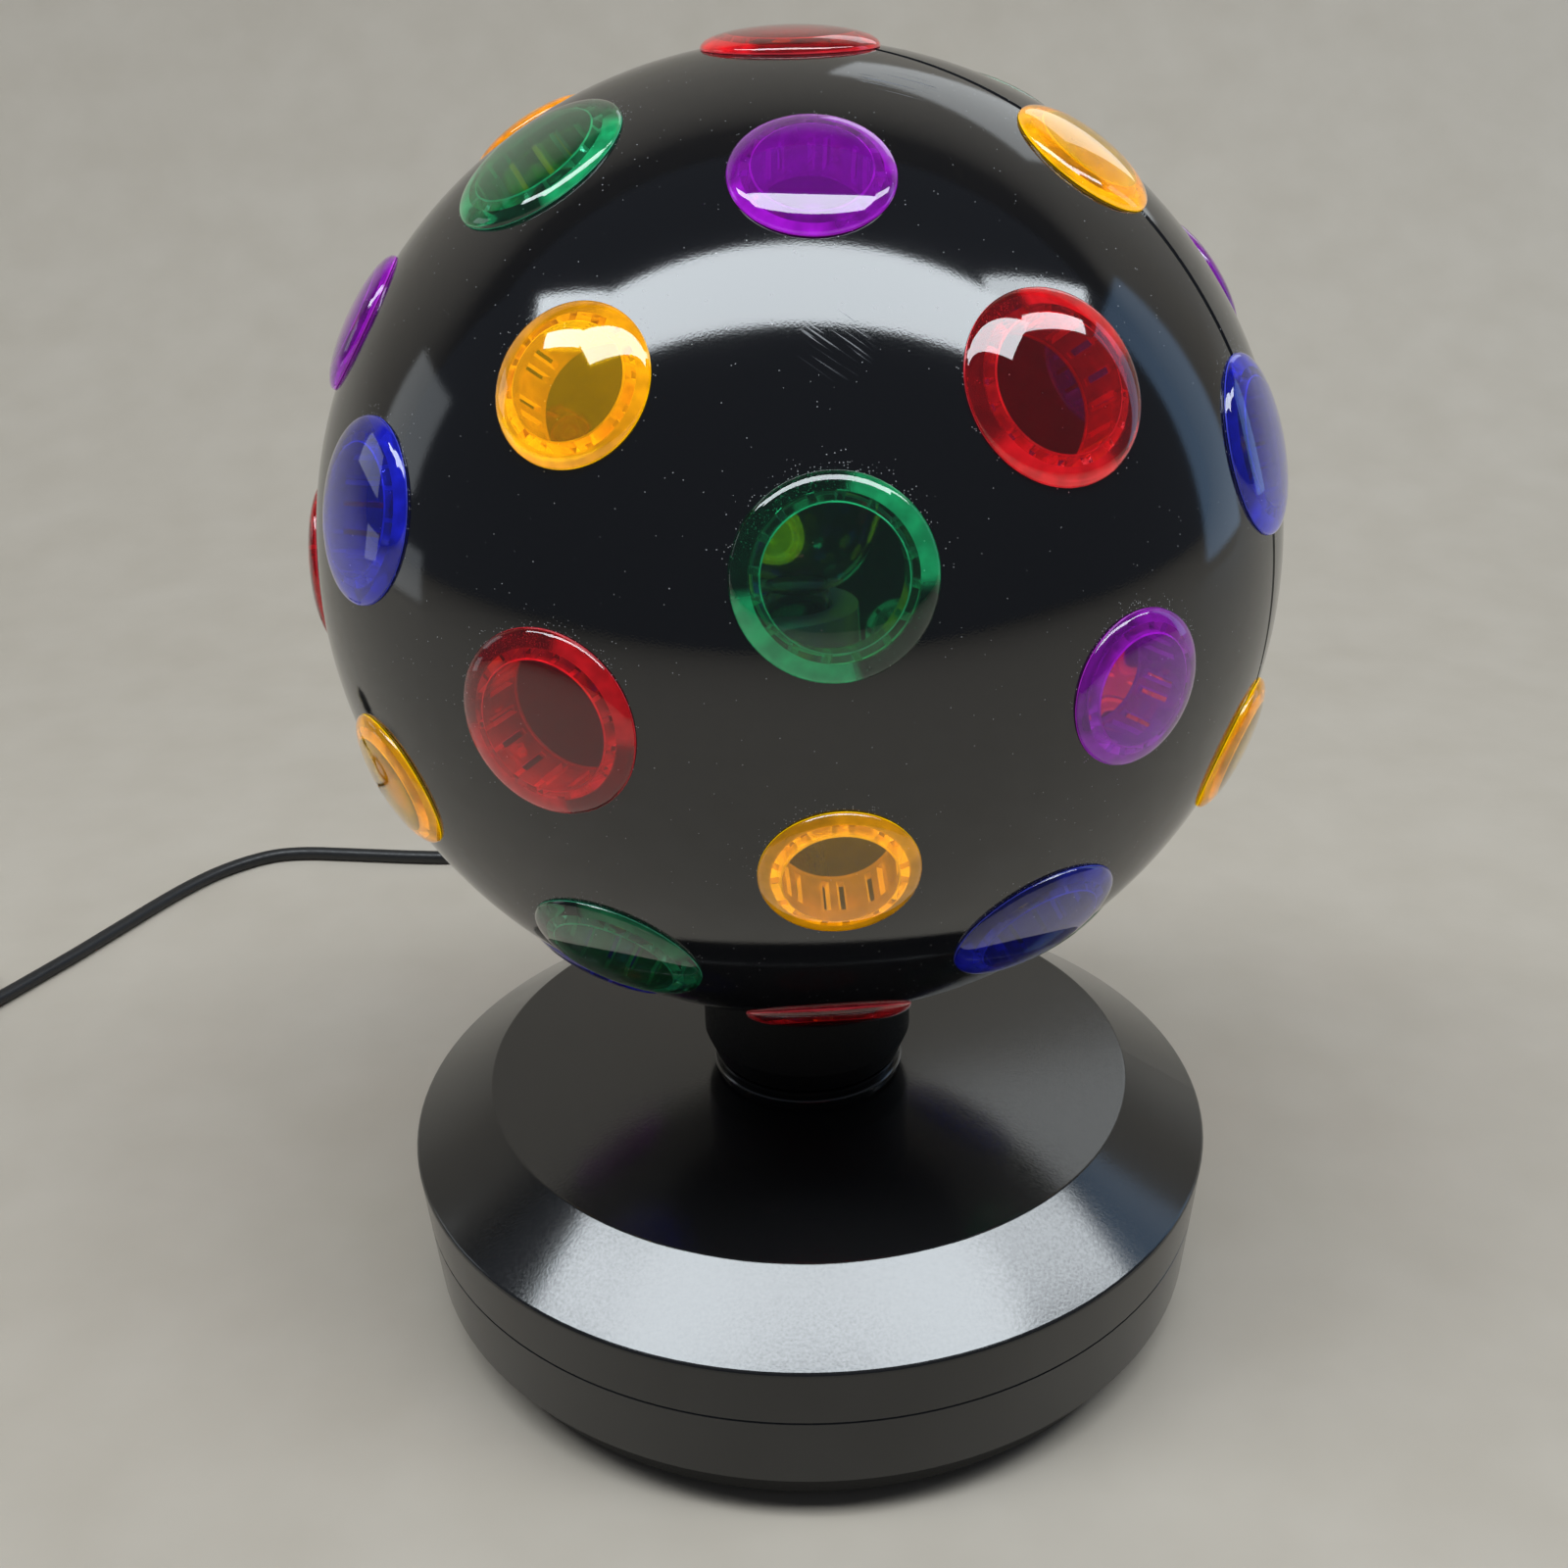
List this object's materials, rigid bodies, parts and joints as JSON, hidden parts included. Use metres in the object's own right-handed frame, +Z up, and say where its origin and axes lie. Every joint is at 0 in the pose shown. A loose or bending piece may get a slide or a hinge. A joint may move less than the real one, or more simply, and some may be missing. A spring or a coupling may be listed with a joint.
{
  "type": "rotating disco light ball",
  "caption": "Glossy black ball set with domed coloured lens caps, turned by a geared motor in a round bevelled base, about a fixed lamp.",
  "frame": {"origin": "on the table under the middle of the base, on the ball's turning axis", "axes": "+Z up along the turning axis, -Y to the front as pictured, +Y to the rear where the cord leaves"},
  "size_m": [0.4396, 0.3153, 0.2887],
  "materials": {
    "ball_black": "glossy moulded black plastic",
    "base_black": "satin moulded black plastic with a fine texture",
    "hub_black": "satin moulded black plastic",
    "lens_red": "clear red plastic",
    "lens_yellow": "clear amber yellow plastic",
    "lens_green": "clear green plastic",
    "lens_blue": "clear blue plastic",
    "lens_purple": "clear purple plastic",
    "foot_rubber": "black rubber",
    "screw_steel": "zinc-plated steel",
    "bush_bronze": "sintered bronze",
    "nylon": "natural nylon",
    "motor_steel": "plated steel can",
    "shaft_steel": "turned steel",
    "pinion_brass": "brass",
    "post_aluminium": "aluminium tube",
    "holder_white": null,
    "bulb_brass": "thin brass",
    "bulb_glass": "clear glass",
    "wire_pvc": "PVC insulation",
    "switch_black": "moulded black plastic",
    "cord_pvc": "black PVC",
    "tie_black": "black strap",
    "blade_brass": "nickel-plated brass"
  },
  "bodies": {
    "base": {"base_cover": "base_black", "base_pan": "base_black", "rubber_feet": "foot_rubber", "base_screws": "screw_steel", "neck_bush": "bush_bronze", "thrust_washer": "nylon", "motor_body": "motor_steel", "motor_screws": "screw_steel", "lamp_post": "post_aluminium", "post_nut": "pinion_brass", "lamp_holder": "holder_white", "bulb_cap": "bulb_brass", "bulb_glass": "bulb_glass", "wiring": "wire_pvc", "terminal_block": "nylon", "switch_body": "switch_black", "strain_relief": "cord_pvc", "cord_run": "cord_pvc", "cord_coil": "cord_pvc", "cord_tie": "tie_black", "plug_body": "cord_pvc", "plug_blades": "blade_brass"},
    "ball": {"ball_shell_front": "ball_black", "ball_shell_rear": "ball_black", "red_lenses": "lens_red", "yellow_lenses": "lens_yellow", "green_lenses": "lens_green", "blue_lenses": "lens_blue", "purple_lenses": "lens_purple", "ball_hub": "hub_black", "hub_screw": "screw_steel", "spindle_tube": "shaft_steel", "spindle_gear": "nylon", "retaining_ring": "screw_steel"},
    "pinion": {"motor_shaft": "shaft_steel", "drive_pinion": "pinion_brass"},
    "rocker": {"switch_rocker": "switch_black"}
  },
  "joints": [
    {"name": "ball_spin", "type": "hinge", "parent": "base", "child": "ball", "pos_m": [0, 0, 0.186], "axis": [0, 0, 1], "continuous": true},
    {"name": "pinion_spin", "type": "hinge", "parent": "base", "child": "pinion", "pos_m": [-0.04, 0, 0.04], "axis": [0, 0, 1], "continuous": true},
    {"name": "rocker_tilt", "type": "hinge", "parent": "base", "child": "rocker", "pos_m": [0.04039, 0.0828, 0.02038], "axis": [0.0361, 0.0739, 0.9966], "range_deg": [0, 16]}
  ],
  "couplings": [
    {"joint": "pinion_spin", "follows": "ball_spin", "ratio": -3}
  ]
}
